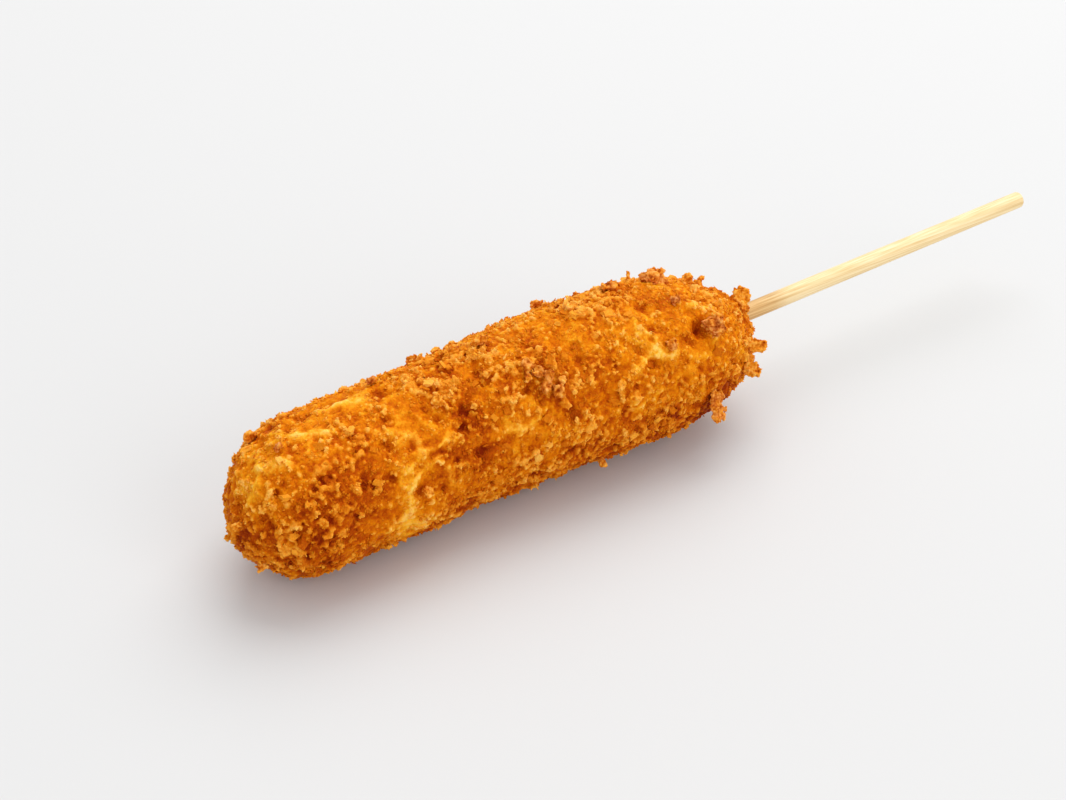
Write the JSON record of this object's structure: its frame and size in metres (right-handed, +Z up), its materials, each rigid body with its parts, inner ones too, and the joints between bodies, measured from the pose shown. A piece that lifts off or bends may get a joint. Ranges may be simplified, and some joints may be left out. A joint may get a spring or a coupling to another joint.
{
  "type": "corn dog",
  "caption": "Deep-fried sausage in a crumb-coated batter crust on a round bamboo stick, lying on its side.",
  "frame": {"origin": "middle of the whole part's box, on the surface that it lies on", "axes": "+X along the length from the food's rounded tip towards the stick's free end, +Z up, shown side up"},
  "size_m": [0.256, 0.0446, 0.0435],
  "materials": {
    "crumb_crust": "fried breadcrumb crust, golden brown, rough and slightly oily",
    "bamboo": "pale bamboo with fine straight grain, darker and oily where it leaves the crust"
  },
  "bodies": {
    "root": {"crumbed_body": "crumb_crust", "stick": "bamboo"}
  },
  "joints": []
}
